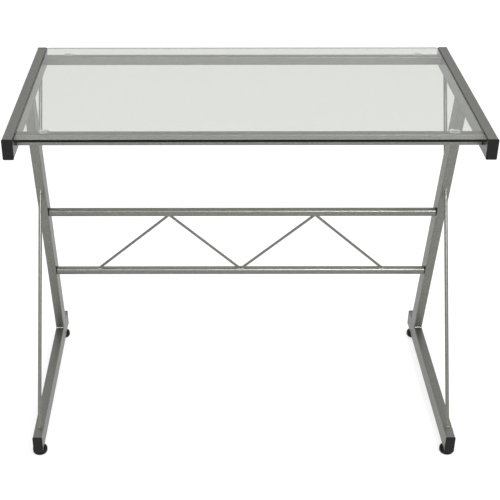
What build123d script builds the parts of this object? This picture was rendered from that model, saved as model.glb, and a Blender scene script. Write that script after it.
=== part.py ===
from build123d import *
import math
import os

os.makedirs("parts", exist_ok=True)

# Glass-topped computer desk on two welded Z-shaped side frames.
# Millimetres, +Z up, origin on the floor under the middle of the desk.
# +X runs along the width, -Y is the side where a person sits.

# ---------------------------------------------------------------- driving sizes
overall_width = 915
overall_depth = 508
overall_height = 756  # floor to the top of the glass and the rails

# Side frames: rectangular steel tube with rounded corners
rail_width = 20
rail_height = 40
tube_wall = 1.5
tube_corner = 2

# The leg leans forward at the top. Its front face is placed at both ends.
leg_top_offset = 5  # front face behind mid-depth, where it meets the top rail
leg_foot_overhang = 36  # foot rail left behind the leg

# Plastic end caps of the rails
cap_flange = 2
cap_overhang = 0.5  # flange beyond the tube, all round
cap_insert_length = 12
cap_insert_wall = 2
cap_clearance = 0.1
cap_edge = 0.8

# Straight stay rod through the corner between foot rail, leg and top rail
stay_diameter = 8
stay_front_inset = 42.5
stay_rear_inset = 51.5

# Glass top and what carries it
glass_thickness = 5
glass_side_gap = 1.5
glass_end_gap = 1
glass_corner = 5
glass_arris = 0.6
pad_height = 3
pad_diameter = 22
pad_inset = 73.5  # pad centre to the desk's outer side
pad_lip = 0.8
pad_hollow_radius = 7.7
pad_seat_radius = 5.5
pad_stem_radius = 3
pad_barb_radius = 3.8
pad_barb_tip_radius = 1.8
pad_barb_length = 4
cross_rail_side = 18
cross_rail_wall = 1.2
cross_rail_corner = 1.5
cross_rail_inset = 43  # rail centre to the desk's front or rear

# Round bars between the legs and the rods that brace them
bar_diameter = 19
bar_wall = 1.2
bar_front_inset = 0.5  # bar behind the leg's front face, square to it
upper_bar_height = 427
lower_bar_height = 246
truss_diameter = 6
truss_apex_offset = 165.5
truss_outer_offset = 334
truss_foot_gap = 2.2  # between two rods where they meet the lower bar
truss_head_offset = 0.8  # a rod's axis to the joint's middle, at the upper bar

# Plugs in the ends of the bars and cross rails
plug_flange = 2
plug_insert_length = 18
plug_clearance = 0.1
plug_edge = 0.4

# M6 countersunk socket screws, and their clearance holes
screw_radius = 3
screw_length = 36
screw_head_radius = 6
screw_socket_width = 4
screw_socket_depth = 2.2
screw_hole_clearance = 0.3

# Levelling feet: nylon base on an M8 stem, in a threaded insert in the foot rail
foot_front_inset = 24
foot_rear_inset = 29
foot_gap = 16  # floor to foot rail, with the feet screwed right in
foot_base_radius = 16
foot_sole_radius = 13
foot_shoulder_radius = 9
foot_rim_height = 10.5
insert_flange = 1
insert_flange_radius = 8
insert_body_radius = 5.5
insert_length = 15
stem_radius = 4
stem_head_radius = 6.5
stem_head_thickness = 3
stem_head_floor = 2  # nylon left under the stem's head
stem_length = 36
running_clearance = 0.05
foot_top_clearance = 0.3

# Weld beads
bead_leg = 3
rod_bead = 1.8
rod_bead_length = 3.5
rod_bead_chamfer = 1.4
truss_bead_taper = 20  # degrees

# ---------------------------------------------------------------- derived places
front = -overall_depth / 2
rear = overall_depth / 2
side_x = overall_width / 2 - rail_width / 2  # middle of a side frame
inner_face = overall_width / 2 - rail_width
rail_length = overall_depth - 2 * cap_flange

top_rail_underside = overall_height - rail_height
foot_rail_top = foot_gap + rail_height

leg_run = top_rail_underside - foot_rail_top
leg_top_front = leg_top_offset
# The leg's level cut is longer than the tube is deep, by 1 / cos(lean), and the
# lean depends on where that cut ends, so the lean comes from a right triangle.
leg_rear_reach = rear - leg_foot_overhang - leg_top_front
leg_slant = math.hypot(leg_run, leg_rear_reach)
leg_lean = math.atan2(leg_rear_reach, leg_run) - math.asin(rail_height / leg_slant)
leg_cut = rail_height / math.cos(leg_lean)
leg_up = Vector(0, -math.sin(leg_lean), math.cos(leg_lean))
leg_out = Vector(0, -math.cos(leg_lean), -math.sin(leg_lean))  # out of the front face


def leg_front_at(z):
    """Y of the leg's front face at height z."""
    return leg_top_front + (top_rail_underside - z) * math.tan(leg_lean)


def on_bar_line(z):
    """Y of the bars' plane, set back from the leg's front face, at height z."""
    return leg_front_at(z) + (bar_front_inset + bar_diameter / 2) / math.cos(leg_lean)


upper_bar_y = on_bar_line(upper_bar_height)
lower_bar_y = on_bar_line(lower_bar_height)

glass_underside = overall_height - glass_thickness
cross_rail_top = glass_underside - pad_height
cross_rail_z = cross_rail_top - cross_rail_side / 2
cross_rail_y = {
    "front": front + cross_rail_inset,
    "rear": rear - cross_rail_inset,
}
pad_x = overall_width / 2 - pad_inset
foot_y = {"front": front + foot_front_inset, "rear": rear - foot_rear_inset}
sides = {"left": -1, "right": 1}

stay_foot = Vector(0, front + stay_front_inset, foot_rail_top)
stay_top = Vector(0, rear - stay_rear_inset, top_rail_underside)
stay_direction = (stay_top - stay_foot).normalized()
# A rod's blank runs this far past the surface it is mitred to, on the slant side
stay_overrun = 2 * (stay_diameter + rod_bead)

screw_head_height = screw_head_radius - screw_radius  # 90 degree head
screw_hole_radius = screw_radius + screw_hole_clearance


def facing_out(sign, y, z):
    """Plane on the outer side of a side frame, normal outward."""
    return Plane(
        origin=(sign * overall_width / 2, y, z),
        x_dir=(0, 1, 0),
        z_dir=(sign, 0, 0),
    )


def finish(piece, name):
    """Labels a finished piece and writes its STEP file."""
    piece.part.label = name
    export_step(piece.part, f"parts/{name}.step")


# ---------------------------------------------------------------- side frames
def rail_tube(x, z_middle):
    """Rectangular tube lying front to back, open at both ends for its caps."""
    rear_end = Plane(
        origin=(x, rear - cap_flange, z_middle),
        x_dir=(1, 0, 0),
        z_dir=(0, -1, 0),
    )
    with BuildPart() as rail:
        with BuildSketch(rear_end):
            RectangleRounded(rail_width, rail_height, tube_corner)
            RectangleRounded(
                rail_width - 2 * tube_wall,
                rail_height - 2 * tube_wall,
                tube_corner - tube_wall,
                mode=Mode.SUBTRACT,
            )
        extrude(amount=rail_length)
    return rail


def top_rail(sign):
    """Rail beside the glass, drilled for the cross rails' screws."""
    tube = rail_tube(sign * side_x, overall_height - rail_height / 2)
    with BuildPart() as rail:
        add(tube.part)
        with Locations(*[facing_out(sign, y, cross_rail_z) for y in cross_rail_y.values()]):
            CounterSinkHole(
                radius=screw_hole_radius,
                counter_sink_radius=screw_head_radius,
                counter_sink_angle=90,
                depth=rail_width,
            )
    return rail


def foot_rail(sign):
    """Rail on the floor, drilled underneath for the feet's threaded inserts."""
    tube = rail_tube(sign * side_x, foot_gap + rail_height / 2)
    with BuildPart() as rail:
        add(tube.part)
        with BuildSketch(Plane.XY.offset(foot_gap)):
            with Locations(*[(sign * side_x, y) for y in foot_y.values()]):
                Circle(insert_body_radius)
        extrude(amount=tube_wall, mode=Mode.SUBTRACT)
    return rail


def leg_outline(inset):
    """Corners of the leaning leg seen from the side, inset from its two long faces."""
    step = inset / math.cos(leg_lean)
    top_y = leg_front_at(top_rail_underside)
    foot_y_front = leg_front_at(foot_rail_top)
    return [
        (top_y + step, top_rail_underside),
        (top_y + leg_cut - step, top_rail_underside),
        (foot_y_front + leg_cut - step, foot_rail_top),
        (foot_y_front + step, foot_rail_top),
    ]


def leg(sign):
    """Leaning tube from the foot rail's top to the top rail's underside."""
    side_plane = Plane(origin=(sign * side_x, 0, 0), x_dir=(0, 1, 0), z_dir=(1, 0, 0))
    with BuildPart() as tube:
        with BuildSketch(side_plane):
            with BuildLine():
                Polyline(*leg_outline(0), close=True)
            make_face()
        extrude(amount=rail_width / 2, both=True)
        lean_axis = Axis((0, 0, 0), (0, leg_up.Y, leg_up.Z))
        fillet(tube.edges().filter_by(lean_axis), radius=tube_corner)
        with BuildSketch(side_plane):
            with BuildLine():
                Polyline(*leg_outline(tube_wall), close=True)
            make_face()
        extrude(amount=rail_width / 2 - tube_wall, both=True, mode=Mode.SUBTRACT)
        bars = ((upper_bar_y, upper_bar_height), (lower_bar_y, lower_bar_height))
        with Locations(*[facing_out(sign, y, z) for y, z in bars]):
            CounterSinkHole(
                radius=screw_hole_radius,
                counter_sink_radius=screw_head_radius,
                counter_sink_angle=90,
                depth=rail_width,
            )
    return tube


def end_cap(x, z_middle, end):
    """Moulded cap: a flange over the tube's end and a hollow insert inside it."""
    face_y = end * overall_depth / 2
    into_tube = -end
    seat = Plane(
        origin=(x, face_y + into_tube * cap_flange, z_middle),
        x_dir=(1, 0, 0),
        z_dir=(0, into_tube, 0),
    )
    insert_width = rail_width - 2 * tube_wall - 2 * cap_clearance
    insert_height = rail_height - 2 * tube_wall - 2 * cap_clearance
    with BuildPart() as cap:
        with BuildSketch(seat):
            RectangleRounded(
                rail_width + 2 * cap_overhang,
                rail_height + 2 * cap_overhang,
                tube_corner + cap_overhang,
            )
        extrude(amount=-cap_flange)
        outer_edges = cap.edges().group_by(Axis.Y)[-1 if end > 0 else 0]
        fillet(outer_edges, radius=cap_edge)
        with BuildSketch(seat):
            RectangleRounded(insert_width, insert_height, tube_corner - tube_wall)
            Rectangle(
                insert_width - 2 * cap_insert_wall,
                insert_height - 2 * cap_insert_wall,
                mode=Mode.SUBTRACT,
            )
        extrude(amount=cap_insert_length)
    return cap


# ---------------------------------------------------------------- stay rods and welds
leg_front_plane = Plane(
    origin=(0, leg_front_at(foot_rail_top), foot_rail_top),
    x_dir=(1, 0, 0),
    z_dir=(0, leg_out.Y, leg_out.Z),
)
leg_rear_plane = Plane(
    origin=(0, leg_front_at(foot_rail_top) + leg_cut, foot_rail_top),
    x_dir=(1, 0, 0),
    z_dir=(0, -leg_out.Y, -leg_out.Z),
)
foot_rail_plane = Plane.XY.offset(foot_rail_top)
top_rail_plane = Plane(origin=(0, 0, top_rail_underside), x_dir=(1, 0, 0), z_dir=(0, 0, -1))


def stay_meets(surface):
    """Distance along the stay's axis, from the foot rail, to a plane it crosses."""
    offset = surface.origin - stay_foot
    return offset.dot(surface.z_dir) / stay_direction.dot(surface.z_dir)


def stay_plane(x, distance):
    """Plane square to the stay's axis, at a distance along it from the foot rail."""
    centre = stay_foot + stay_direction * distance
    return Plane(
        origin=(x, centre.Y, centre.Z),
        x_dir=(1, 0, 0),
        z_dir=(0, stay_direction.Y, stay_direction.Z),
    )


def stay_rod(x, start_surface, end_surface):
    """Length of round rod, mitred to the surfaces at its two ends."""
    start = stay_meets(start_surface) - stay_overrun
    end = stay_meets(end_surface) + stay_overrun
    with BuildPart() as rod:
        with BuildSketch(stay_plane(x, start)):
            Circle(stay_diameter / 2)
        extrude(amount=end - start)
        split(bisect_by=start_surface, keep=Keep.TOP)
        split(bisect_by=end_surface, keep=Keep.TOP)
    return rod


def rod_collar(x, surface, away):
    """Weld bead round the end of a stay rod, tapering away from the surface."""
    base = stay_plane(x, stay_meets(surface))
    base_plane = Plane(
        origin=base.origin,
        x_dir=(1, 0, 0),
        z_dir=(0, away * stay_direction.Y, away * stay_direction.Z),
    )
    with BuildPart() as collar:
        with BuildSketch(base_plane.offset(-stay_overrun)):
            Circle(stay_diameter / 2 + rod_bead)
        extrude(amount=stay_overrun + rod_bead_length)
        split(bisect_by=surface, keep=Keep.TOP)
        free_end = collar.faces().sort_by(Axis(base_plane.origin, base_plane.z_dir))[-1]
        chamfer(free_end.edges(), length=rod_bead_chamfer)
        with BuildSketch(base_plane.offset(-stay_overrun)):
            Circle(stay_diameter / 2)
        extrude(amount=2 * stay_overrun, mode=Mode.SUBTRACT)
    return collar


def leg_bead(x, corner_y, corner_z, toward_y, leg_way):
    """Fillet weld across the leg, in the corner between it and a rail."""
    side_plane = Plane(origin=(x, 0, 0), x_dir=(0, 1, 0), z_dir=(1, 0, 0))
    along_leg = (
        corner_y + leg_way * leg_up.Y * bead_leg,
        corner_z + leg_way * leg_up.Z * bead_leg,
    )
    with BuildPart() as bead:
        with BuildSketch(side_plane):
            with BuildLine():
                Polyline(
                    (corner_y, corner_z),
                    (corner_y + toward_y * bead_leg, corner_z),
                    along_leg,
                    close=True,
                )
            make_face()
        extrude(amount=rail_width / 2 - tube_corner, both=True)
    return bead


def side_welds(x):
    """All the beads of one side frame: four across the leg, four round the rods."""
    foot_front = leg_front_at(foot_rail_top)
    top_front = leg_front_at(top_rail_underside)
    beads = [
        leg_bead(x, foot_front, foot_rail_top, -1, 1),
        leg_bead(x, foot_front + leg_cut, foot_rail_top, 1, 1),
        leg_bead(x, top_front, top_rail_underside, -1, -1),
        leg_bead(x, top_front + leg_cut, top_rail_underside, 1, -1),
        rod_collar(x, foot_rail_plane, 1),
        rod_collar(x, leg_front_plane, -1),
        rod_collar(x, leg_rear_plane, 1),
        rod_collar(x, top_rail_plane, -1),
    ]
    with BuildPart() as welds:
        for bead in beads:
            add(bead.part)
    return welds


for side, sign in sides.items():
    x = sign * side_x
    finish(top_rail(sign), f"{side}_top_rail")
    finish(foot_rail(sign), f"{side}_foot_rail")
    finish(leg(sign), f"{side}_leg")
    for end_name, end in (("front", -1), ("rear", 1)):
        finish(
            end_cap(x, overall_height - rail_height / 2, end),
            f"{side}_top_rail_{end_name}_cap",
        )
        finish(
            end_cap(x, foot_gap + rail_height / 2, end),
            f"{side}_foot_rail_{end_name}_cap",
        )
    finish(stay_rod(x, foot_rail_plane, leg_front_plane), f"{side}_lower_stay_rod")
    finish(stay_rod(x, leg_rear_plane, top_rail_plane), f"{side}_upper_stay_rod")
    finish(side_welds(x), f"{side}_weld_beads")


# ---------------------------------------------------------------- cross rails and bars
span = 2 * (inner_face - plug_flange)  # tube length between the two plugs' flanges


def left_end(y, z):
    """Plane at the left end of a tube that spans the desk, normal to the right."""
    return Plane(origin=(-span / 2, y, z), x_dir=(0, 1, 0), z_dir=(1, 0, 0))


def cross_rail(y):
    """Square tube under the glass, with a hole for each pad's stem."""
    with BuildPart() as rail:
        with BuildSketch(left_end(y, cross_rail_z)):
            RectangleRounded(cross_rail_side, cross_rail_side, cross_rail_corner)
            Rectangle(
                cross_rail_side - 2 * cross_rail_wall,
                cross_rail_side - 2 * cross_rail_wall,
                mode=Mode.SUBTRACT,
            )
        extrude(amount=span)
        with BuildSketch(Plane.XY.offset(cross_rail_top)):
            with Locations((-pad_x, y), (pad_x, y)):
                Circle(pad_stem_radius)
        extrude(amount=-cross_rail_wall, mode=Mode.SUBTRACT)
    return rail


def back_bar(y, z):
    """Round tube between the legs."""
    with BuildPart() as bar:
        with BuildSketch(left_end(y, z)):
            Circle(bar_diameter / 2)
            Circle(bar_diameter / 2 - bar_wall, mode=Mode.SUBTRACT)
        extrude(amount=span)
    return bar


def plug_plane(sign, y, z):
    """Plane on the inner face of a side frame, normal toward the desk's middle."""
    return Plane(origin=(sign * inner_face, y, z), x_dir=(0, 1, 0), z_dir=(-sign, 0, 0))


def round_plug(sign, y, z):
    """Plug of a round bar: flange against the leg, insert in the bar, screw bore."""
    with BuildPart() as plug:
        with BuildSketch(plug_plane(sign, y, z)):
            Circle(bar_diameter / 2)
        extrude(amount=plug_flange)
        fillet(plug.edges(), radius=plug_edge)
        with BuildSketch(plug_plane(sign, y, z)):
            Circle(bar_diameter / 2 - bar_wall - plug_clearance)
        extrude(amount=plug_flange + plug_insert_length)
        with BuildSketch(plug_plane(sign, y, z)):
            Circle(screw_radius)
        extrude(amount=plug_flange + plug_insert_length, mode=Mode.SUBTRACT)
    return plug


def square_plug(sign, y, z):
    """Plug of a square cross rail, made like the round one."""
    insert_side = cross_rail_side - 2 * cross_rail_wall - 2 * plug_clearance
    with BuildPart() as plug:
        with BuildSketch(plug_plane(sign, y, z)):
            RectangleRounded(cross_rail_side, cross_rail_side, cross_rail_corner)
        extrude(amount=plug_flange)
        fillet(plug.faces().filter_by(Axis.X).edges(), radius=plug_edge)
        with BuildSketch(plug_plane(sign, y, z)):
            Rectangle(insert_side, insert_side)
        extrude(amount=plug_flange + plug_insert_length)
        with BuildSketch(plug_plane(sign, y, z)):
            Circle(screw_radius)
        extrude(amount=plug_flange + plug_insert_length, mode=Mode.SUBTRACT)
    return plug


def screws(places):
    """Countersunk socket screws, one at each plane, heads flush with the planes."""
    with BuildPart() as group:
        with Locations(*places):
            Cylinder(screw_radius, screw_length, align=(Align.CENTER, Align.CENTER, Align.MAX))
            Cone(
                bottom_radius=screw_radius,
                top_radius=screw_head_radius,
                height=screw_head_height,
                align=(Align.CENTER, Align.CENTER, Align.MAX),
            )
        with BuildSketch(*places):
            RegularPolygon(screw_socket_width / 2, 6, major_radius=False)
        extrude(amount=-screw_socket_depth, mode=Mode.SUBTRACT)
    return group


for end_name, y in cross_rail_y.items():
    finish(cross_rail(y), f"{end_name}_cross_rail")
    for side, sign in sides.items():
        finish(square_plug(sign, y, cross_rail_z), f"{end_name}_cross_rail_{side}_plug")

bar_places = {
    "upper": (upper_bar_y, upper_bar_height),
    "lower": (lower_bar_y, lower_bar_height),
}
for bar_name, (y, z) in bar_places.items():
    finish(back_bar(y, z), f"{bar_name}_back_bar")
    for side, sign in sides.items():
        finish(round_plug(sign, y, z), f"{bar_name}_back_bar_{side}_plug")

finish(
    screws([facing_out(s, y, cross_rail_z) for s in sides.values() for y in cross_rail_y.values()]),
    "cross_rail_screws",
)
finish(
    screws([facing_out(s, y, z) for s in sides.values() for y, z in bar_places.values()]),
    "back_bar_screws",
)

# ---------------------------------------------------------------- truss rods
# The rods lie in the plane through both bars' axes. Measured in that plane, each
# runs from the lower bar's top to the upper bar's underside.
bar_gap = (upper_bar_height - lower_bar_height) / math.cos(leg_lean) - bar_diameter
truss_half_gap = (truss_diameter + truss_foot_gap) / 2  # feet stand side by side
truss_feet = {
    "outer_left": (-truss_outer_offset, -truss_apex_offset - truss_head_offset),
    "inner_left": (-truss_half_gap, -truss_apex_offset + truss_head_offset),
    "inner_right": (truss_half_gap, truss_apex_offset - truss_head_offset),
    "outer_right": (truss_outer_offset, truss_apex_offset + truss_head_offset),
}


def in_truss(x, up):
    """Point in the bars' plane: x across, up from the lower bar's top surface."""
    rise = bar_diameter / 2 + up
    return Vector(x, lower_bar_y, lower_bar_height) + leg_up * rise


def truss_rod(foot_x, head_x):
    """Straight rod coped to both bars, and mitred to its neighbour at the upper one."""
    foot = in_truss(foot_x, 0)
    head = in_truss(head_x, bar_gap)
    along = (head - foot).normalized()
    start = foot - along * truss_diameter
    length = (head - foot).length + 2 * truss_diameter
    joint_x = math.copysign(truss_apex_offset, head_x)
    toward_foot = math.copysign(1, foot_x - joint_x)
    with BuildPart() as rod:
        with BuildSketch(Plane(origin=start, z_dir=along)):
            Circle(truss_diameter / 2)
        extrude(amount=length)
        mitre = Plane(origin=(joint_x, 0, 0), x_dir=(0, 1, 0), z_dir=(toward_foot, 0, 0))
        split(bisect_by=mitre, keep=Keep.TOP)
        for y, z in bar_places.values():
            with BuildSketch(left_end(y, z)):
                Circle(bar_diameter / 2)
            extrude(amount=span, mode=Mode.SUBTRACT)
    return rod


def truss_bead(x, up, way):
    """Weld round rods where they meet a bar: a low mound coped to the bar."""
    reach = truss_diameter / 2 + rod_bead
    foot = in_truss(x, up)
    with BuildPart() as mound:
        with BuildSketch(Plane(origin=foot - leg_up * way * rod_bead, z_dir=leg_up * way)):
            SlotCenterToCenter(truss_diameter, 2 * reach)
        extrude(amount=rod_bead + bead_leg, taper=truss_bead_taper)
        for foot_x, head_x in truss_feet.values():
            low = in_truss(foot_x, 0)
            high = in_truss(head_x, bar_gap)
            along = (high - low).normalized()
            with BuildSketch(Plane(origin=low - along * truss_diameter, z_dir=along)):
                Circle(truss_diameter / 2)
            extrude(amount=(high - low).length + 2 * truss_diameter, mode=Mode.SUBTRACT)
        for y, z in bar_places.values():
            with BuildSketch(left_end(y, z)):
                Circle(bar_diameter / 2)
            extrude(amount=span, mode=Mode.SUBTRACT)
    return mound


for name, (foot_x, head_x) in truss_feet.items():
    finish(truss_rod(foot_x, head_x), f"{name}_truss_rod")

bead_places = [
    (-truss_outer_offset, 0, 1),
    (0, 0, 1),
    (truss_outer_offset, 0, 1),
    (-truss_apex_offset, bar_gap, -1),
    (truss_apex_offset, bar_gap, -1),
]
mounds = [truss_bead(x, up, way) for x, up, way in bead_places]
with BuildPart() as truss_weld_beads:
    for mound in mounds:
        add(mound.part)
finish(truss_weld_beads, "truss_weld_beads")

# ---------------------------------------------------------------- glass and pads
with BuildPart() as glass_top:
    with BuildSketch(Plane.XY.offset(glass_underside)):
        RectangleRounded(
            2 * (inner_face - glass_side_gap),
            overall_depth - 2 * glass_end_gap,
            glass_corner,
        )
    extrude(amount=glass_thickness)
    flat_edges = glass_top.edges().group_by(Axis.Z)
    chamfer(flat_edges[0] + flat_edges[-1], length=glass_arris)
finish(glass_top, "glass_top")


def turned(outline, x, y):
    """Solid of revolution about a vertical axis, from (radius, height) points."""
    with BuildPart() as piece:
        with BuildSketch(Plane(origin=(x, y, 0), x_dir=(1, 0, 0), z_dir=(0, -1, 0))):
            with BuildLine():
                Polyline(*outline, close=True)
            make_face()
        revolve(axis=Axis((x, y, 0), (0, 0, 1)))
    return piece


pad_radius = pad_diameter / 2
barb_top = cross_rail_top - cross_rail_wall
pad_outline = [
    (0, glass_underside - pad_lip),
    (pad_hollow_radius, glass_underside - pad_lip),
    (pad_radius - pad_lip, glass_underside),
    (pad_radius, glass_underside),
    (pad_radius, glass_underside - pad_lip),
    (pad_seat_radius, cross_rail_top),
    (pad_stem_radius, cross_rail_top),
    (pad_stem_radius, barb_top),
    (pad_barb_radius, barb_top),
    (pad_barb_tip_radius, barb_top - pad_barb_length),
    (0, barb_top - pad_barb_length),
]
for end_name, y in cross_rail_y.items():
    for side, sign in sides.items():
        finish(turned(pad_outline, sign * pad_x, y), f"{end_name}_{side}_suction_pad")

# ---------------------------------------------------------------- levelling feet
base_top = foot_gap - insert_flange - foot_top_clearance
head_top = stem_head_floor + stem_head_thickness
base_outline = [
    (0, 0),
    (foot_sole_radius, 0),
    (foot_base_radius, foot_base_radius - foot_sole_radius),
    (foot_base_radius, foot_rim_height),
    (foot_shoulder_radius, base_top),
    (stem_radius + running_clearance, base_top),
    (stem_radius + running_clearance, head_top + running_clearance),
    (stem_head_radius + running_clearance, head_top + running_clearance),
    (stem_head_radius + running_clearance, stem_head_floor - running_clearance),
    (0, stem_head_floor - running_clearance),
]
stem_outline = [
    (0, stem_head_floor),
    (stem_head_radius, stem_head_floor),
    (stem_head_radius, head_top),
    (stem_radius, head_top),
    (stem_radius, stem_head_floor + stem_length),
    (0, stem_head_floor + stem_length),
]
insert_outline = [
    (stem_radius + running_clearance, foot_gap - insert_flange),
    (insert_flange_radius, foot_gap - insert_flange),
    (insert_flange_radius, foot_gap),
    (insert_body_radius, foot_gap),
    (insert_body_radius, foot_gap + insert_length),
    (stem_radius + running_clearance, foot_gap + insert_length),
]
for end_name, y in foot_y.items():
    for side, sign in sides.items():
        x = sign * side_x
        finish(turned(base_outline, x, y), f"{end_name}_{side}_foot_base")
        finish(turned(stem_outline, x, y), f"{end_name}_{side}_foot_stem")
        finish(turned(insert_outline, x, y), f"{end_name}_{side}_foot_insert")
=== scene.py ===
# %% [markdown]
# # A glass-topped computer desk
# The desk is two welded Z-shaped side frames of rectangular steel tube, joined by square
# rails under a glass top and by two round bars braced with thin rods. The CAD model gives
# every size. This lesson gives the parts their finishes, and rebuilds the small parts whose
# real shape has more to it than the CAD needed: glass, end caps, feet, cups and welds.

# %% Load the frame
import bmesh
import bpy
import math
import random
from mathutils import Matrix, Vector


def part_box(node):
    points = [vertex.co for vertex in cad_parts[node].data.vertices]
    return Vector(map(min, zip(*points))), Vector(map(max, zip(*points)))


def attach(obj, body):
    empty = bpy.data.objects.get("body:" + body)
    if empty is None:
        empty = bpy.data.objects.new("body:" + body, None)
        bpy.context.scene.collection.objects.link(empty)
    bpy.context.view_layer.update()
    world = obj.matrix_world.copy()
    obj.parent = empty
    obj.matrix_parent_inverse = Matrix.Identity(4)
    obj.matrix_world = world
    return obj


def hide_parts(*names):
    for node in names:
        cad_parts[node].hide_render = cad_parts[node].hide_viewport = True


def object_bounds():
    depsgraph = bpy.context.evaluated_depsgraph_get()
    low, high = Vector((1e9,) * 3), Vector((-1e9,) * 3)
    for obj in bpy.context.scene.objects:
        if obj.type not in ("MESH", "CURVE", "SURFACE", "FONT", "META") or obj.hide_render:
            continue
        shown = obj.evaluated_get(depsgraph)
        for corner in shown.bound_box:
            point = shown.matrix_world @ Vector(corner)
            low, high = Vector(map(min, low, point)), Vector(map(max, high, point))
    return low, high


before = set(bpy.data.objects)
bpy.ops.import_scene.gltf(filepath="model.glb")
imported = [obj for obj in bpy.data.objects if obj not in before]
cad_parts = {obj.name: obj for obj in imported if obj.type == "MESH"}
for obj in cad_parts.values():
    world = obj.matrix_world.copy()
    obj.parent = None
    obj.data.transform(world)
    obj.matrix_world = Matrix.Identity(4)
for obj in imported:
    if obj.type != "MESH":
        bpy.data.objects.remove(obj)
cad_box = [list(corner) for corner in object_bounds()]
scene = bpy.context.scene
desk_low, desk_high = (Vector(corner) for corner in cad_box)
desk_middle = (desk_low + desk_high) / 2
MM = 0.001
print("desk, mm:", [round(side / MM) for side in desk_high - desk_low])

# %% [markdown]
# ## The camera
# A catalogue picture is taken with a long lens from a little above the desk, facing it
# squarely. The lens is moved sideways in its mount, as on a view camera, instead of being
# turned: that keeps the front edge level while the desk sits in the middle of the frame.
# The roll is what a tripod that is not quite level gives.

# %% Camera
CAMERA_PLACE = (-0.0782, -2.0931, 1.5706)
CAMERA_TILT = math.radians(59.43)  # 90 degrees would look level
CAMERA_ROLL = math.radians(-0.05)
camera = bpy.data.objects.new("Catalogue_camera", bpy.data.cameras.new("Catalogue_camera"))
scene.collection.objects.link(camera)
scene.camera = camera
camera.location = CAMERA_PLACE
tilt = Matrix.Rotation(CAMERA_TILT, 3, "X")
roll = Matrix.Rotation(CAMERA_ROLL, 3, "Z")
camera.rotation_euler = (tilt @ roll).to_euler()
camera.data.lens = 78.40
camera.data.sensor_width = 36
camera.data.shift_x = 0.0846
camera.data.shift_y = 0.0352
print("camera to the desk's middle, m:", round((desk_middle - camera.location).length, 2))

# %% [markdown]
# ## Helpers for materials and objects
# Colours are written as sRGB hex values, as a paint chart gives them, and turned to the
# linear values that the shaders work in. One helper adds any node, with its settings and
# links, and one starts a material. Two more turn a finished bmesh into an object whose
# place is in its mesh, and smooth its curved faces.

# %% Helpers
def linear(hex_colour):
    """A colour such as "#84867f" in linear values, with an alpha of 1."""
    channels = [int(hex_colour[i:i + 2], 16) / 255 for i in (1, 3, 5)]
    lit = [c / 12.92 if c <= 0.04045 else ((c + 0.055) / 1.055) ** 2.4 for c in channels]
    return (*lit, 1)


def add(tree, kind, inputs=None, **settings):
    """Adds a node. Each input is filled with a value, or linked if it is given a socket."""
    made = tree.nodes.new(kind)
    for name, value in settings.items():
        setattr(made, name, value)
    for name, value in (inputs or {}).items():
        if isinstance(value, bpy.types.NodeSocket):
            tree.links.new(value, made.inputs[name])
        else:
            made.inputs[name].default_value = value
    return made


def start_material(name):
    """An empty material, its node tree, its output node and its object coordinates."""
    material = bpy.data.materials.new(name)
    material.use_nodes = True
    tree = material.node_tree
    tree.nodes.clear()
    out = add(tree, "ShaderNodeOutputMaterial")
    return material, tree, out, add(tree, "ShaderNodeTexCoord").outputs["Object"]


def new_object(bm, name, *materials):
    """Turns a finished bmesh into an object at the origin."""
    mesh = bpy.data.meshes.new(name)
    bm.to_mesh(mesh)
    bm.free()
    for material in materials:
        mesh.materials.append(material)
    made = bpy.data.objects.new(name, mesh)
    scene.collection.objects.link(made)
    return made


def smooth(piece, angle):
    """Smooth shading, kept sharp where faces meet at more than an angle, in degrees."""
    piece.data.shade_smooth()
    piece.data.set_sharp_from_angle(angle=math.radians(angle))
    return piece


# %% [markdown]
# ## Floor
# The studio floor is white seamless paper, a matt sheet with a faint fibre. Part of its
# brightness is emission, because light from every side of a white studio would fall on it:
# that keeps the shadows as faint as many big lamps would.

# %% Floor
PAPER_FIBRE = 2.5 * MM
PAPER_GLOW = 0.60
FLOOR_SIZE = 24
paper, tree, out, place = start_material("White_seamless_paper")
fibre = add(tree, "ShaderNodeTexNoise", {"Vector": place, "Scale": 1 / PAPER_FIBRE})
shade = add(tree, "ShaderNodeMapRange", {
    "Value": fibre.outputs["Fac"], "To Min": 0.40, "To Max": 0.44,
})
surface = add(tree, "ShaderNodeBsdfPrincipled", {
    "Base Color": shade.outputs["Result"], "Roughness": 0.9, "Specular IOR Level": 0.0,
    "Emission Color": (1, 1, 1, 1), "Emission Strength": PAPER_GLOW,
})
tree.links.new(surface.outputs["BSDF"], out.inputs["Surface"])

bm = bmesh.new()
bmesh.ops.create_grid(bm, x_segments=1, y_segments=1, size=FLOOR_SIZE / 2)
new_object(bm, "Paper_floor", paper)
print("floor, m:", FLOOR_SIZE)

# %% [markdown]
# ## Lights
# A wide softbox high in front draws the long highlights on the bars and rods, a small
# brighter one to its right makes them stronger there, one overhead lights the glass, and a
# weak one at the right lights the inner side of the left frame. The white world stands for
# the studio's walls, which the glass and the powder coat mirror. The "Standard" view keeps
# whites white, where the default one would grey them.

# %% Lights
STUDIO_WHITE = 0.92


def soft_light(name, place, aim, width, depth, power):
    """A rectangular softbox at a place, turned to face a point."""
    light = bpy.data.lights.new(name, "AREA")
    light.shape = "RECTANGLE"
    light.size = width
    light.size_y = depth
    light.energy = power
    holder = bpy.data.objects.new(name, light)
    holder.location = place
    holder.rotation_euler = (Vector(aim) - Vector(place)).to_track_quat("-Z", "Y").to_euler()
    scene.collection.objects.link(holder)


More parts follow.
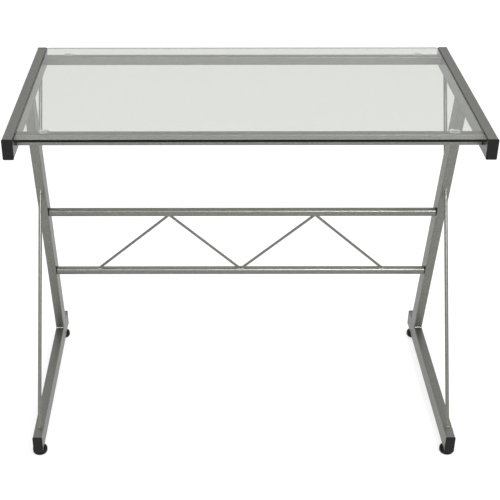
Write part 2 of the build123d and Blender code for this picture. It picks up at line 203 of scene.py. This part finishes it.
aim = desk_middle
soft_light("Overhead_softbox", (0, 0.9, 3.4), aim, width=3.0, depth=3.0, power=20)
soft_light("Front_strip", (-0.4, -2.2, 2.60), aim, width=2.6, depth=0.5, power=27)
soft_light("Front_right_softbox", (0.80, -2.2, 2.60), aim, width=0.5, depth=0.45, power=44)
soft_light("Right_softbox", (2.8, 0.8, 1.8), aim, width=1.4, depth=1.4, power=10)

scene.world = bpy.data.worlds.new("White_studio")
scene.world.use_nodes = True
walls = scene.world.node_tree.nodes["Background"].inputs
walls["Color"].default_value = (1, 1, 1, 1)
walls["Strength"].default_value = STUDIO_WHITE
scene.view_settings.view_transform = "Standard"
print("softboxes:", len(bpy.data.lights))

# %% [markdown]
# ## Silver powder coat
# The tubes, bars and rods are steel, sprayed with polyester powder that holds aluminium
# flake and baked. It is a satin grey that mirrors softly: part metal, part paint. Close up
# it has a fine sparkle, and the slow dimples called orange peel. The flake is really about
# 0.1 mm, too fine to show, so it is drawn as grains of 1.2 mm and clumps of 4 mm. On the
# welds the coat is a little glossier, and its colour is painted paler as a painted highlight on the
# beads.

# %% Silver powder coat
FLAKE = 1.2 * MM
FLAKE_CLUMP = 4 * MM
ORANGE_PEEL = 2.2 * MM
PEEL_DEPTH = 0.02 * MM
METAL_SHARE = 0.85  # the rest is the clear polyester over the flake


def powder_coat(name, dark, light, roughness):
    """Baked metallic powder: flake in its colour, dimples in its surface."""
    material, tree, out, place = start_material(name)
    flake = add(tree, "ShaderNodeTexVoronoi", {"Vector": place, "Scale": 1 / FLAKE}, feature="F1")
    clump = add(tree, "ShaderNodeTexNoise", {
        "Vector": place, "Scale": 1 / FLAKE_CLUMP, "Detail": 3.0,
    })
    mix = add(tree, "ShaderNodeMath", {
        0: flake.outputs["Distance"], 1: clump.outputs["Fac"],
    }, operation="MULTIPLY")
    colour = add(tree, "ShaderNodeValToRGB", {"Fac": mix.outputs["Value"]})
    colour.color_ramp.elements[0].position = 0.08
    colour.color_ramp.elements[0].color = linear(light)
    colour.color_ramp.elements[1].position = 0.42
    colour.color_ramp.elements[1].color = linear(dark)
    gloss = add(tree, "ShaderNodeMapRange", {
        "Value": clump.outputs["Fac"], "From Min": 0.3, "From Max": 0.7,
        "To Min": roughness - 0.03, "To Max": roughness + 0.05,
    })
    peel = add(tree, "ShaderNodeTexNoise", {
        "Vector": place, "Scale": 1 / ORANGE_PEEL, "Detail": 1.0,
    })
    dimples = add(tree, "ShaderNodeBump", {
        "Height": peel.outputs["Fac"], "Strength": 0.6, "Distance": PEEL_DEPTH,
    })
    surface = add(tree, "ShaderNodeBsdfPrincipled", {
        "Base Color": colour.outputs["Color"], "Metallic": METAL_SHARE,
        "Roughness": gloss.outputs["Result"], "Specular Tint": (0.7, 0.7, 0.7, 1),
        "Normal": dimples.outputs["Normal"],
    })
    tree.links.new(surface.outputs["BSDF"], out.inputs["Surface"])
    return material


silver_coat = powder_coat("Silver_powder_coat_on_steel_tube", "#666762", "#80817b", 0.32)
# the weld coat's paler colours are a painted highlight on the beads; its lower roughness is real
# gloss
weld_coat_painted_highlight = powder_coat("Silver_powder_coat_on_weld_painted_paler", "#7d7e79", "#9fa09a", 0.26)
print("coats:", silver_coat.name, weld_coat_painted_highlight.name)

# %% [markdown]
# ## Black mouldings
# The caps and plugs are polyethylene, soft and a little waxy, with the grain of a
# spark-eroded mould. The glides of the feet are nylon, harder, smoother and blacker. Both
# are plastics with an IOR near 1.5, so they differ in roughness and in their mould grain.

# %% Black mouldings
HANDLING = 12 * MM  # size of the patches that handling polishes


def black_moulding(name, colour, worn, roughness, grain, grain_depth, specular):
    """Moulded black plastic: grain from the mould, and gloss that varies with handling."""
    material, tree, out, place = start_material(name)
    grit = add(tree, "ShaderNodeTexNoise", {"Vector": place, "Scale": 1 / grain, "Detail": 2.0})
    rub = add(tree, "ShaderNodeTexNoise", {"Vector": place, "Scale": 1 / HANDLING, "Detail": 2.0})
    gloss = add(tree, "ShaderNodeMapRange", {
        "Value": rub.outputs["Fac"], "To Min": roughness - 0.08, "To Max": roughness + 0.08,
    })
    tone = add(tree, "ShaderNodeMixRGB", {
        "Fac": grit.outputs["Fac"], "Color1": linear(colour), "Color2": linear(worn),
    })
    bump = add(tree, "ShaderNodeBump", {
        "Height": grit.outputs["Fac"], "Strength": 0.5, "Distance": grain_depth,
    })
    surface = add(tree, "ShaderNodeBsdfPrincipled", {
        "Base Color": tone.outputs["Color"], "Roughness": gloss.outputs["Result"], "IOR": 1.5,
        "Specular IOR Level": specular, "Normal": bump.outputs["Normal"],
    })
    tree.links.new(surface.outputs["BSDF"], out.inputs["Surface"])
    return material


black_cap = black_moulding(
    "Black_polyethylene_moulding", "#060606", "#100f0f",
    roughness=0.5, grain=0.8 * MM, grain_depth=0.03 * MM, specular=0.22,
)
black_glide = black_moulding(
    "Black_nylon_moulding", "#040405", "#0a0a0b",
    roughness=0.32, grain=0.6 * MM, grain_depth=0.01 * MM, specular=0.14,
)
print("mouldings:", black_cap.name, black_glide.name)

# %% [markdown]
# ## Bright zinc plate
# The screws, the feet's stems and the threaded inserts are steel with a thin bright zinc
# plating: a pale metal, slightly blue, whose crystals give it a faint mottle.

# %% Bright zinc plate
ZINC_MOTTLE = 1.5 * MM
zinc_plate, tree, out, place = start_material("Bright_zinc_plated_steel")
mottle = add(tree, "ShaderNodeTexVoronoi", {
    "Vector": place, "Scale": 1 / ZINC_MOTTLE,
}, feature="F1")
tone = add(tree, "ShaderNodeMixRGB", {
    "Fac": mottle.outputs["Color"], "Color1": linear("#b9bdc2"), "Color2": linear("#cfd0cd"),
})
gloss = add(tree, "ShaderNodeMapRange", {
    "Value": mottle.outputs["Distance"], "To Min": 0.26, "To Max": 0.40,
})
surface = add(tree, "ShaderNodeBsdfPrincipled", {
    "Base Color": tone.outputs["Color"], "Metallic": 1.0, "Roughness": gloss.outputs["Result"],
})
tree.links.new(surface.outputs["BSDF"], out.inputs["Surface"])
print("plating:", zinc_plate.name)

# %% [markdown]
# ## Glass and clear cups
# The top is clear float glass, toughened, 5 mm thick. Seen through its faces it takes only
# a little light, and seen through its ground edge it is a dark green line, because light
# that enters there runs the long way through the sheet. So the edge has its own material.
# The Light Path switch lets lamps through: the glass would otherwise cast a solid shadow.
# The cups that carry it are soft clear PVC, slightly cloudy.

# %% Glass and clear cups
SMEAR = 60 * MM  # size of the patches that a wiping cloth leaves


def clear_solid(name, tint, shadow, roughness, ior, transmission, specular):
    """A see-through solid, with smears in its gloss, that lets lamps through."""
    material, tree, out, place = start_material(name)
    smear = add(tree, "ShaderNodeTexNoise", {"Vector": place, "Scale": 1 / SMEAR, "Detail": 2.0})
    gloss = add(tree, "ShaderNodeMapRange", {
        "Value": smear.outputs["Fac"], "To Min": roughness * 0.5, "To Max": roughness * 1.5,
    })
    surface = add(tree, "ShaderNodeBsdfPrincipled", {
        "Base Color": linear(tint), "Roughness": gloss.outputs["Result"], "IOR": ior,
        "Transmission Weight": transmission, "Specular IOR Level": specular,
    })
    path = add(tree, "ShaderNodeLightPath")
    clear = add(tree, "ShaderNodeBsdfTransparent", {"Color": linear(shadow)})
    switch = add(tree, "ShaderNodeMixShader", {
        0: path.outputs["Is Shadow Ray"], 1: surface.outputs["BSDF"], 2: clear.outputs["BSDF"],
    })
    tree.links.new(switch.outputs["Shader"], out.inputs["Surface"])
    return material


glass_face = clear_solid(
    "Toughened_float_glass", "#d2d4cf", "#f2f3f0",
    roughness=0.0, ior=1.56, transmission=1.0, specular=0.5,
)
glass_edge = clear_solid(
    "Ground_edge_of_float_glass", "#0b130e", "#a9b5ad",
    roughness=0.10, ior=1.52, transmission=0.05, specular=0.08,
)
clear_pvc = clear_solid(
    "Clear_soft_PVC", "#dfe4e0", "#e8ece9",
    roughness=0.12, ior=1.53, transmission=0.75, specular=0.5,
)
print("clear solids:", glass_face.name, glass_edge.name, clear_pvc.name)

# %% [markdown]
# ## Finishes of the CAD parts that stay
# Tubes, bars, rods, plugs, screws and inserts already have their real shape in the CAD, so
# they keep it and only get a finish. Each arrives with a plain material named for its
# slot, which says which finish it takes.

# %% Finishes of the CAD parts that stay
finishes = {
    "silver_frame": silver_coat, "black_plastic": black_cap, "black_nylon": black_glide,
    "tempered_glass": glass_face, "clear_pvc": clear_pvc, "zinc_steel": zinc_plate,
}
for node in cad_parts.values():
    node.data.materials[0] = finishes[node.data.materials[0].name]
print("parts given a finish:", len(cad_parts))

# %% [markdown]
# ## The glass top
# A sheet with rounded corners and a small arris ground along each edge. It starts from a
# cube: the four upright edges are rounded, then the two outlines are chamfered. Its faces
# get the face material and everything round its rim the edge material.

# %% Glass top
CORNER = 5 * MM
ARRIS = 0.6 * MM


def block(low, high):
    """A bmesh box between two corners."""
    bm = bmesh.new()
    bmesh.ops.create_cube(bm, size=1)
    size = Vector(high) - Vector(low)
    bmesh.ops.scale(bm, vec=size, verts=bm.verts)
    bmesh.ops.translate(bm, vec=(Vector(high) + Vector(low)) / 2, verts=bm.verts)
    return bm


def way_of(edge):
    """Direction of an edge."""
    return (edge.verts[1].co - edge.verts[0].co).normalized()


def edges_along(bm, axis):
    """The edges that run along an axis, 0 for X, 1 for Y and 2 for Z."""
    return [e for e in bm.edges if abs(way_of(e)[axis]) > 0.99]


def round_over(bm, edges, radius, segments):
    """Bevels edges to an arc."""
    bmesh.ops.bevel(bm, geom=edges, offset=radius, segments=segments, profile=0.5,
                    affect="EDGES", material=-1, clamp_overlap=True)


low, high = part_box("glass_top")
bm = block(low, high)
round_over(bm, edges_along(bm, 2), CORNER, 8)
rim = [f for f in bm.faces if abs(f.normal.z) < 0.5]
outlines = {e for f in rim for e in f.edges if abs(way_of(e).z) < 0.5}
round_over(bm, list(outlines), ARRIS, 2)
for face in bm.faces:
    face.material_index = int(abs(face.normal.z) < 0.99)  # 0 is the face's glass, 1 the edge's
glass_top = new_object(bm, "Glass_top_sheet", glass_face, glass_edge)
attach(glass_top, "desk")
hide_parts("glass_top")
print("glass, mm:", [round(side / MM, 1) for side in high - low])

# %% [markdown]
# ## End caps of the rails
# A cap is one moulding: a plate over the tube's end, rounded all round, and a hollow plug
# that grips inside the tube. The plate is a box with its corners and outer edge rounded
# over, and its face raised a little in the middle. The plug is a smaller box, hollowed by
# insetting its far face and pushing that face back into it.

# %% End caps
CAP_PLATE = 2 * MM
CAP_CORNER = 2.5 * MM
CAP_EDGE = 0.7 * MM
CAP_BORDER = 1.2 * MM
CAP_CROWN = 0.25 * MM
CAP_PLUG_INSET = 2.1 * MM
CAP_PLUG_WALL = 2 * MM
CAP_PLUG_CORNER = 0.5 * MM
SAME_PLACE = 0.01 * MM  # points nearer than this count as level with each other


def flat_face(bm, axis, sign):
    """The largest face that looks along an axis."""
    facing = [f for f in bm.faces if f.normal[axis] * sign > 0.99]
    return max(facing, key=lambda f: f.calc_area())


def join(bm, other):
    """Adds another bmesh's shape to bm and frees the other."""
    mesh = bpy.data.meshes.new("joined")
    other.to_mesh(mesh)
    other.free()
    bm.from_mesh(mesh)
    bpy.data.meshes.remove(mesh)


def hollow_plug(low, high, way, wall):
    """Block hollowed from its far end along Y, with every corner along it eased."""
    bm = block(low, high)
    mouth = flat_face(bm, 1, way)
    bmesh.ops.inset_region(bm, faces=[mouth], thickness=wall)
    floor = bmesh.ops.extrude_discrete_faces(bm, faces=[mouth])["faces"][0]
    bmesh.ops.translate(bm, vec=(0, -way * (high[1] - low[1] - wall), 0), verts=floor.verts)
    round_over(bm, edges_along(bm, 1), CAP_PLUG_CORNER, 3)
    return bm


def end_cap(node, outward):
    """Cap in place of a CAD cap. outward is -1 at the front and 1 at the rear."""
    low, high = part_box(node)
    face_y = high.y if outward > 0 else low.y
    inner_y = face_y - outward * CAP_PLATE
    bm = block((low.x, min(face_y, inner_y), low.z), (high.x, max(face_y, inner_y), high.z))
    round_over(bm, edges_along(bm, 1), CAP_CORNER, 6)
    outer = flat_face(bm, 1, outward)
    round_over(bm, list(outer.edges), CAP_EDGE, 3)
    outer = flat_face(bm, 1, outward)
    bmesh.ops.inset_region(bm, faces=[outer], thickness=CAP_BORDER)
    border = [v for v in bm.verts if abs(v.co.y - face_y) < SAME_PLACE and v not in outer.verts]
    bmesh.ops.translate(bm, vec=(0, outward * -CAP_CROWN, 0), verts=border)
    bmesh.ops.inset_region(bm, faces=[outer], thickness=CAP_BORDER / 4)  # keeps the middle flat
    # the plug starts a quarter of the way into the plate, so that the two are one
    plug_ends = sorted((inner_y + outward * CAP_PLATE / 4, low.y if outward > 0 else high.y))
    join(bm, hollow_plug(
        (low.x + CAP_PLUG_INSET, plug_ends[0], low.z + CAP_PLUG_INSET),
        (high.x - CAP_PLUG_INSET, plug_ends[1], high.z - CAP_PLUG_INSET),
        -outward, CAP_PLUG_WALL,
    ))
    cap = new_object(bm, node.replace("_cap", "_end_cap"), black_cap)
    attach(cap, "desk")
    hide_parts(node)


for side in ("left", "right"):
    for rail in ("top", "foot"):
        end_cap(f"{side}_{rail}_rail_front_cap", -1)
        end_cap(f"{side}_{rail}_rail_rear_cap", 1)
print("end cap's plate, mm:", CAP_PLATE / MM, "plug's wall, mm:", CAP_PLUG_WALL / MM)

# %% [markdown]
# ## Turned pieces
# The glides, the cups and the stems' heads are round, so each is half an outline spun
# about an upright axis. An outline is drawn as (radius, height) points, and where a corner
# is to be rounded, the ring that it drew is bevelled after the spin.

# %% Turning helper
ROUND_STEPS = 48
MERGE = 0.001 * MM  # doubles nearer than this become one


def on_ring(vertex, radius, height):
    """Whether a vertex lies on a ring about Z."""
    reach = vertex.co.xy.length
    return abs(reach - radius) < SAME_PLACE and abs(vertex.co.z - height) < SAME_PLACE


def turned(outline, centre=(0, 0, 0), steps=ROUND_STEPS, rings=(), radius=0.0, segments=3):
    """Spins an outline about Z. rings are the numbers of the points whose edge is rounded."""
    bm = bmesh.new()
    chain = [bm.verts.new((r, 0, z)) for r, z in outline]
    edges = [bm.edges.new(pair) for pair in zip(chain, chain[1:])]
    sharp = [outline[i] for i in rings]
    bmesh.ops.spin(bm, geom=chain + edges, cent=(0, 0, 0), axis=(0, 0, 1), dvec=(0, 0, 0),
                   angle=2 * math.pi, steps=steps, use_merge=True, use_duplicate=False)
    bmesh.ops.remove_doubles(bm, verts=bm.verts, dist=MERGE)
    bmesh.ops.recalc_face_normals(bm, faces=bm.faces)
    if sharp:
        ringed = [
            e for e in bm.edges
            if abs(e.verts[0].co.z - e.verts[1].co.z) < SAME_PLACE
            and any(all(on_ring(v, *point) for v in e.verts) for point in sharp)
        ]
        round_over(bm, ringed, radius, segments)
    bmesh.ops.translate(bm, vec=centre, verts=bm.verts)
    return bm


# %% [markdown]
# ## Glides of the feet
# A glide is a squat black drum that turns on the head of its stem, which sits in a pocket
# inside it. Its sole is slightly hollow so that it stands on a ring, and its rim has twelve
# shallow grips for fingers. The grips are made after the spin: the rim's points are drawn
# towards the middle in waves, and a high power keeps each groove narrow.

# %% Glides
GRIPS = 12
GRIP_DEPTH = 0.35 * MM
GRIP_NARROWNESS = 4
GLIDE_STEPS = 72
SOLE_HOLLOW = 0.4 * MM
STEM_BORE = 4.05 * MM
HEAD_POCKET = 6.55 * MM
HEAD_POCKET_TOP = 5.05 * MM
HEAD_POCKET_FLOOR = 1.95 * MM


def glide(corner):
    """Nylon glide in place of a CAD foot base."""
    low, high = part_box(f"{corner}_foot_base")
    radius = (high.x - low.x) / 2
    height = high.z - low.z
    outline = [
        (0, SOLE_HOLLOW), (radius * 0.62, SOLE_HOLLOW), (radius * 0.68, 0), (radius * 0.80, 0),
        (radius * 0.93, height * 0.10), (radius, height * 0.27), (radius, height * 0.68),
        (radius * 0.97, height * 0.79), (radius * 0.87, height * 0.89),
        (radius * 0.72, height * 0.96), (radius * 0.54, height),
        (STEM_BORE, height), (STEM_BORE, HEAD_POCKET_TOP),
        (HEAD_POCKET, HEAD_POCKET_TOP), (HEAD_POCKET, HEAD_POCKET_FLOOR), (0, HEAD_POCKET_FLOOR),
    ]
    bm = turned(outline, steps=GLIDE_STEPS)
    for v in bm.verts:
        reach = v.co.xy.length
        if reach > radius * 0.94:
            wave = 0.5 - 0.5 * math.cos(GRIPS * math.atan2(v.co.y, v.co.x))
            v.co.xy *= 1 - wave ** GRIP_NARROWNESS * GRIP_DEPTH / reach
    centre = (low + high) / 2
    bmesh.ops.translate(bm, vec=(centre.x, centre.y, low.z), verts=bm.verts)
    piece = smooth(new_object(bm, f"{corner}_glide", black_glide), 40)
    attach(piece, f"{corner}_foot_glide")
    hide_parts(f"{corner}_foot_base")


corners = [f"{end}_{side}" for end in ("front", "rear") for side in ("left", "right")]
for corner in corners:
    glide(corner)
print("glides:", len(corners), "with", GRIPS, "grips each")

# %% [markdown]
# ## Threaded stems
# An M8 stem has a thread every 1.25 mm. One thread's outline, five points from one root to
# the next, is spun round and round while it climbs by one pitch a turn, which draws the
# helix. Both ends come out ragged, so two planes cut them level and the holes are filled.
# A short tip finishes the free end, and a plain round head sits in the glide.

# %% Threaded stems
M8_RADIUS = 4 * MM
M8_PITCH = 1.25 * MM
M8_DEPTH = 0.75 * MM
THREAD_STEPS = 28
THREAD_MERGE = 0.002 * MM
STEM_HEAD_RADIUS = 6.5 * MM
STEM_HEAD = 3 * MM
STEM_HEAD_EDGE = 0.4 * MM
STEM_TIP = 0.8 * MM
STEM_TIP_SLOPE = 0.4 * MM


def threaded_rod(radius, pitch, depth, low_z, high_z):
    """A threaded rod about Z, from one height to another."""
    bm = bmesh.new()
    turns = math.ceil((high_z - low_z) / pitch) + 2
    start = low_z - pitch * 1.5
    root = radius - depth
    outline = [(root, 0), (root, 0.14), (radius, 0.46), (radius, 0.60), (root, 1)]
    chain = [bm.verts.new((r, 0, start + share * pitch)) for r, share in outline]
    edges = [bm.edges.new(pair) for pair in zip(chain, chain[1:])]
    bmesh.ops.spin(bm, geom=chain + edges, cent=(0, 0, 0), axis=(0, 0, 1),
                   dvec=(0, 0, pitch / THREAD_STEPS), angle=2 * math.pi * turns,
                   steps=turns * THREAD_STEPS, use_merge=False, use_duplicate=False)
    bmesh.ops.remove_doubles(bm, verts=bm.verts, dist=THREAD_MERGE)
    for height, way in ((low_z, -1), (high_z, 1)):
        bmesh.ops.bisect_plane(bm, geom=bm.verts[:] + bm.edges[:] + bm.faces[:],
                               dist=MERGE / 10, plane_co=(0, 0, height),
                               plane_no=(0, 0, way), clear_outer=True)
        rim = [
            e for e in bm.edges
            if e.is_boundary and all(abs(v.co.z - height) < MERGE for v in e.verts)
        ]
        bmesh.ops.contextual_create(bm, geom=rim)
    bmesh.ops.recalc_face_normals(bm, faces=bm.faces)
    return bm


def stem(corner):
    """Stem of a foot in place of the CAD one: a plain head and a threaded rod."""
    low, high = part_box(f"{corner}_foot_stem")
    thread_end = high.z - STEM_TIP
    head_top = low.z + STEM_HEAD
    root = M8_RADIUS - M8_DEPTH
    rod = threaded_rod(M8_RADIUS, M8_PITCH, M8_DEPTH, low.z + STEM_HEAD * 0.9, thread_end)
    tip = turned([
        (0, high.z), (root - STEM_TIP_SLOPE, high.z), (root, thread_end), (0, thread_end),
    ], steps=THREAD_STEPS)
    head = turned([
        (0, low.z), (STEM_HEAD_RADIUS, low.z), (STEM_HEAD_RADIUS, head_top), (0, head_top),
    ], rings=(1, 2), radius=STEM_HEAD_EDGE)
    join(rod, tip)
    join(rod, head)
    centre = (low + high) / 2
    bmesh.ops.translate(rod, vec=(centre.x, centre.y, 0), verts=rod.verts)
    piece = smooth(new_object(rod, f"{corner}_threaded_stem", zinc_plate), 30)
    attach(piece, f"{corner}_foot_screw")
    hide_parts(f"{corner}_foot_stem")


for corner in corners:
    stem(corner)
print("thread: M8, pitch in mm", M8_PITCH / MM)

# %% [markdown]
# ## Suction cups
# Four clear cups hold the glass by its underside, each with a barbed stem in a hole of a
# cross rail. The lip is thin and flares up to the glass, and grips it: it rises 0.02 mm
# into the sheet, as wet contact, so that the glass shows it instead of a mirror.

# %% Suction cups
WET_CONTACT = 0.02 * MM
CUP_HEIGHT = 3 * MM  # glass to cross rail
RAIL_WALL = 1.2 * MM
CUP_NECK = 5.5 * MM
CUP_STEM = 3 * MM
CUP_BARB = 3.7 * MM


def cup(corner):
    """Clear cup in place of a CAD pad."""
    low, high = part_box(f"{corner}_suction_pad")
    radius = (high.x - low.x) / 2
    seat = high.z - CUP_HEIGHT
    wall = seat - RAIL_WALL
    top = high.z + WET_CONTACT
    outline = [
        (0, top - 0.9 * MM), (radius * 0.45, top - 0.8 * MM), (radius * 0.72, top - 0.45 * MM),
        (radius * 0.88, top), (radius, top), (radius, top - 0.25 * MM),
        (radius * 0.86, top - 0.8 * MM), (radius * 0.66, top - 1.7 * MM),
        (CUP_NECK, seat + 0.5 * MM), (CUP_NECK, seat), (CUP_STEM, seat), (CUP_STEM, wall),
        (CUP_BARB, wall), (CUP_BARB, wall - 0.4 * MM), (CUP_STEM * 0.6, low.z), (0, low.z),
    ]
    centre = (low + high) / 2
    bm = turned(outline, centre=(centre.x, centre.y, 0))
    piece = smooth(new_object(bm, f"{corner}_suction_cup", clear_pvc), 50)
    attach(piece, "desk")
    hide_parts(f"{corner}_suction_pad")


for corner in corners:
    cup(corner)
print("cups:", len(corners), "each between rail and glass, mm:", CUP_HEIGHT / MM)

# %% [markdown]
# ## What a weld bead is
# Each joint of the side frames is welded: a straight bead lies in every corner between the
# leg and a rail, and a round one circles each end of a stay rod. A bead is laid drop by
# drop, and every drop freezes as a ripple. So a bead here is a row of overlapping drops,
# low domes with few faces, a little uneven. The powder coat covers them, in the paler
# colours of a painted highlight.

# %% Weld bead helper
DROP_PITCH = 1.2 * MM
DROP_STEPS = 10
DROP_RINGS = 7
uneven = random.Random(7)


def drop(bm, place, size, turn):
    """One frozen drop of a bead: a ball squashed to a size, which varies by 8 percent."""
    scale = [half * uneven.uniform(0.92, 1.08) for half in size]
    shape = Matrix.Translation(place) @ turn.to_4x4() @ Matrix.Diagonal((*scale, 1))
    bmesh.ops.create_uvsphere(
        bm, u_segments=DROP_STEPS, v_segments=DROP_RINGS, radius=1, matrix=shape,
    )


def corner_axes(along, out):
    """A turn whose X lies along a bead and whose Z points out of its corner."""
    x = Vector(along).normalized()
    z = (Vector(out) - x * Vector(out).dot(x)).normalized()
    return Matrix((x, z.cross(x), z)).transposed()


def bead_piece(bm, name, *nodes):
    """Finishes a bead and puts it in place of CAD nodes."""
    piece = smooth(new_object(bm, name, weld_coat_painted_highlight), 60)
    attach(piece, "desk")
    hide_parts(*nodes)


def ring_of_drops(bm, centre, across, along, normal, size, count):
    """Drops round an ellipse. across and along are its half axes, as vectors."""
    for i in range(count):
        around = 2 * math.pi * i / count
        spot = centre + across * math.cos(around) + along * math.sin(around)
        way = along * math.cos(around) - across * math.sin(around)
        drop(bm, spot, size, corner_axes(way, normal))


# %% [markdown]
# ## Welds of the side frames
# The leg's front and rear faces each meet both rails, which makes four corners, and the
# stay rod passes through four surfaces. The corners' places come from the leg's own box
# and lean, and the rod's from the rod's own boxes.

# %% Side frame welds
LEG_BEAD = 16 * MM
LEG_DROP = (2.3 * MM, 2.6 * MM, 1.6 * MM)
LEG_BEAD_OFFSET = 0.5 * MM  # from the corner out to the bead's middle line
ROD_DROP = (2.1 * MM, 1.6 * MM, 1.4 * MM)
ROD_DROPS = 22
ROD_RADIUS = 4 * MM
ROD_BEAD_OFFSET = 0.4 * MM
LEG_DEPTH = 40 * MM
SETTLE_ROUNDS = 4


def side_frame_welds(side):
    """Ripples of all the beads of one side frame, in place of the CAD beads."""
    bm = bmesh.new()
    leg_low, leg_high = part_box(f"{side}_leg")
    x = (leg_low.x + leg_high.x) / 2
    cut = LEG_DEPTH
    # the level cut is the depth over cos(lean), and the lean needs the cut
    for _ in range(SETTLE_ROUNDS):
        lean = math.atan2(leg_high.y - leg_low.y - cut, leg_high.z - leg_low.z)
        cut = LEG_DEPTH / math.cos(lean)
    leg_up = Vector((0, -math.sin(lean), math.cos(lean)))
    corners_of_leg = (
        (leg_high.y - cut, leg_low.z, -1, leg_up), (leg_high.y, leg_low.z, 1, leg_up),
        (leg_low.y, leg_high.z, -1, -leg_up), (leg_low.y + cut, leg_high.z, 1, -leg_up),
    )
    count = round(LEG_BEAD / DROP_PITCH)
    for y, z, toward, up_leg in corners_of_leg:
        out = (Vector((0, toward, 0)) + up_leg).normalized()
        for i in range(count + 1):
            along = (i / count - 0.5) * (LEG_BEAD - LEG_DROP[0])
            place = Vector((x + along, y, z)) + out * LEG_BEAD_OFFSET
            drop(bm, place, LEG_DROP, corner_axes((1, 0, 0), out))
    leg_out = Vector((0, -math.cos(lean), -math.sin(lean)))
    ring = ROD_RADIUS + ROD_BEAD_OFFSET
    lower_low, lower_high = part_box(f"{side}_lower_stay_rod")
    upper_low, upper_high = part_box(f"{side}_upper_stay_rod")
    # the two lengths are one line, from the foot rail to the top rail
    foot = Vector((x, lower_low.y, leg_low.z))
    head = Vector((x, upper_high.y, leg_high.z))
    slant = (head - foot).normalized()
    for _ in range(SETTLE_ROUNDS):
        reach = ROD_RADIUS / slant.z  # half the level cut through the rod
        foot.y = lower_low.y + reach
        head.y = upper_high.y - reach
        slant = (head - foot).normalized()
    leg_foot = Vector((x, leg_high.y - cut, leg_low.z))
    surfaces = (
        (foot, Vector((0, 0, 1))), (head, Vector((0, 0, -1))),
        (leg_foot, leg_out), (leg_foot + Vector((0, cut, 0)), -leg_out),
    )
    for point, normal in surfaces:
        meets = foot + slant * ((point - foot).dot(normal) / slant.dot(normal))
        across = Vector((ring, 0, 0))
        downhill = (slant - normal * slant.dot(normal)).normalized()
        along = downhill * (ring / abs(slant.dot(normal)))
        ring_of_drops(bm, meets, across, along, normal, ROD_DROP, ROD_DROPS)
    bead_piece(bm, f"{side}_frame_welds", f"{side}_weld_beads")


for side in ("left", "right"):
    side_frame_welds(side)
print("drops in a leg bead:", round(LEG_BEAD / DROP_PITCH) + 1, "round a rod:", ROD_DROPS)

# %% [markdown]
# ## Welds of the truss
# At five places one rod's end, or two, meet a round bar. A weld there is a ring of drops
# round the rods' ends, and every drop sits on the bar's round surface.

# %% Truss welds
TRUSS_DROP = (2.1 * MM, 1.9 * MM, 1.3 * MM)
TRUSS_ROD = 3 * MM  # radius
TRUSS_BEAD_OFFSET = 0.8 * MM
JOINT_REACH = 8.2 * MM  # half the ring's length where two rods meet
END_REACH = TRUSS_ROD * 1.7  # and at a single rod
LIFT = 0.001  # keeps a bead's direction from vanishing where the ring runs across


def truss_welds():
    """One piece for all the joints, in place of the CAD mounds. Gives the number of them."""
    bm = bmesh.new()
    upper_low, upper_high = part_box("upper_back_bar")
    lower_low, lower_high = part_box("lower_back_bar")
    upper = (upper_low + upper_high) / 2
    lower = (lower_low + lower_high) / 2
    bar = (upper_high.z - upper_low.z) / 2
    up = (upper - lower).normalized()
    flat = up.cross(Vector((1, 0, 0)))
    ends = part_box("truss_weld_beads")
    outer = (ends[1].x - ends[0].x) / 2 - JOINT_REACH * 0.55
    apex = (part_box("outer_right_truss_rod")[0].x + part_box("inner_right_truss_rod")[1].x) / 2
    joints = [(x, lower, up) for x in (-outer, 0, outer)] + [(x, upper, -up) for x in (-apex, apex)]
    for x, centre, way in joints:
        reach = JOINT_REACH if abs(x) < outer - MM else END_REACH
        count = round(math.pi * (reach + TRUSS_ROD) / DROP_PITCH)
        for i in range(count):
            around = 2 * math.pi * i / count
            side_step = (TRUSS_ROD + TRUSS_BEAD_OFFSET) * math.sin(around)
            rise = math.sqrt(bar * bar - side_step * side_step)
            from_axis = way * rise + flat * side_step
            spot = Vector((x + reach * math.cos(around), centre.y, centre.z)) + from_axis
            turn = corner_axes((-math.sin(around), LIFT, 0), from_axis.normalized())
            drop(bm, spot, TRUSS_DROP, turn)
    bead_piece(bm, "truss_welds", "truss_weld_beads")
    return len(joints)


print("truss joints welded:", truss_welds())
